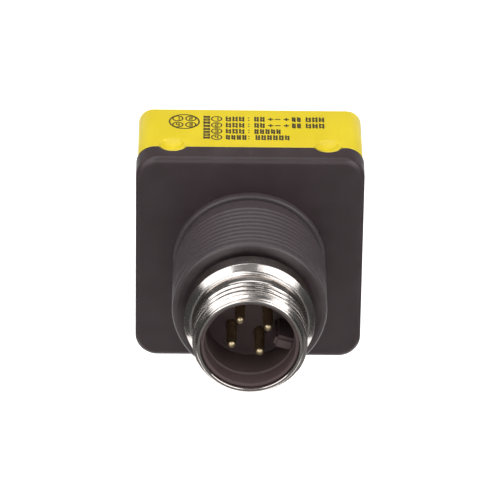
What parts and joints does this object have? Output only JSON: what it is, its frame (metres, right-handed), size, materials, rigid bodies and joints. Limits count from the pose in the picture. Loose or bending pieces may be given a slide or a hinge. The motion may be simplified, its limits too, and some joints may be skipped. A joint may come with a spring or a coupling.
{
  "type": "photoelectric sensor",
  "caption": "Square-headed photoelectric sensor: black base and yellow shell, threaded barrel, pin connector in a nickel-plated threaded collar, twin lenses at the far end.",
  "frame": {"origin": "on the axis of the threaded barrel, in the plane of the base's flat mounting face", "axes": "-Y along the barrel towards the connector, +Y out through the lenses, +Z out of the labelled side, +X to the right as the connector is seen with the label up"},
  "size_m": [0.0446, 0.0569, 0.0446],
  "materials": {
    "black_housing": "moulded black thermoplastic with a fine texture",
    "yellow_housing": "moulded yellow thermoplastic, satin, with dark printed marks",
    "black_rubber": "matt black rubber",
    "black_bezel": "satin black",
    "red_lens": "clear red acrylic",
    "black_tube": "light-absorbing matt black",
    "circuit_board": "green solder mask",
    "zinc_screw": "zinc-plated steel",
    "led_clear": "clear epoxy",
    "diode_dark": "dark infrared-pass epoxy",
    "chip_black": "black epoxy",
    "capacitor_sleeve": "dark blue sleeve over an aluminium can",
    "pot_blue": "blue trimmer body",
    "switch_grey": "grey switch body",
    "adjuster_white": "off-white nylon",
    "led_yellow": "tinted epoxy",
    "led_green": "tinted epoxy",
    "light_pipe": "clear polycarbonate",
    "nickel_plate": "bright nickel plating on turned metal",
    "black_insert": "dark moulded insert",
    "gold_pin": "gold-plated contact",
    "insulation_brown": "brown insulation",
    "insulation_white": "white insulation",
    "insulation_blue": "blue insulation",
    "insulation_black": "black insulation"
  },
  "bodies": {
    "body": {"adjust_board": "circuit_board", "base_housing": "black_housing", "board_header": "chip_black", "board_screw_1": "zinc_screw", "board_screw_2": "zinc_screw", "board_screw_3": "zinc_screw", "board_screw_4": "zinc_screw", "connector_insert": "black_insert", "connector_nut": "nickel_plate", "connector_seal": "black_rubber", "connector_shell": "nickel_plate", "contact_pin_1": "gold_pin", "contact_pin_2": "gold_pin", "contact_pin_3": "gold_pin", "contact_pin_4": "gold_pin", "emitter_led": "led_clear", "emitter_lens": "red_lens", "front_bezel": "black_bezel", "gain_pot_body": "pot_blue", "gain_seal": "black_rubber", "head_gasket": "black_rubber", "head_shell": "yellow_housing", "lead_black": "insulation_black", "lead_blue": "insulation_blue", "lead_brown": "insulation_brown", "lead_white": "insulation_white", "light_pipe_1": "light_pipe", "light_pipe_2": "light_pipe", "mode_seal": "black_rubber", "mode_switch_body": "switch_grey", "optic_tube": "black_tube", "optics_board": "circuit_board", "output_transistor_1": "chip_black", "output_transistor_2": "chip_black", "power_board": "circuit_board", "receiver_diode": "diode_dark", "receiver_lens": "red_lens", "signal_chip": "chip_black", "status_led_1": "led_yellow", "status_led_2": "led_green", "supply_capacitor": "capacitor_sleeve", "surge_suppressor": "chip_black"},
    "gain_adjuster": {"gain_adjuster": "adjuster_white"},
    "mode_selector": {"mode_selector": "adjuster_white"}
  },
  "joints": [
    {"name": "gain_turn", "type": "hinge", "parent": "body", "child": "gain_adjuster", "pos_m": [0.0095, 0.0146, -0.0182], "axis": [0, 0, -1], "range_deg": [-135, 135]},
    {"name": "mode_turn", "type": "hinge", "parent": "body", "child": "mode_selector", "pos_m": [0.001, 0.0146, -0.0182], "axis": [0, 0, -1], "range_deg": [0, 90]}
  ]
}
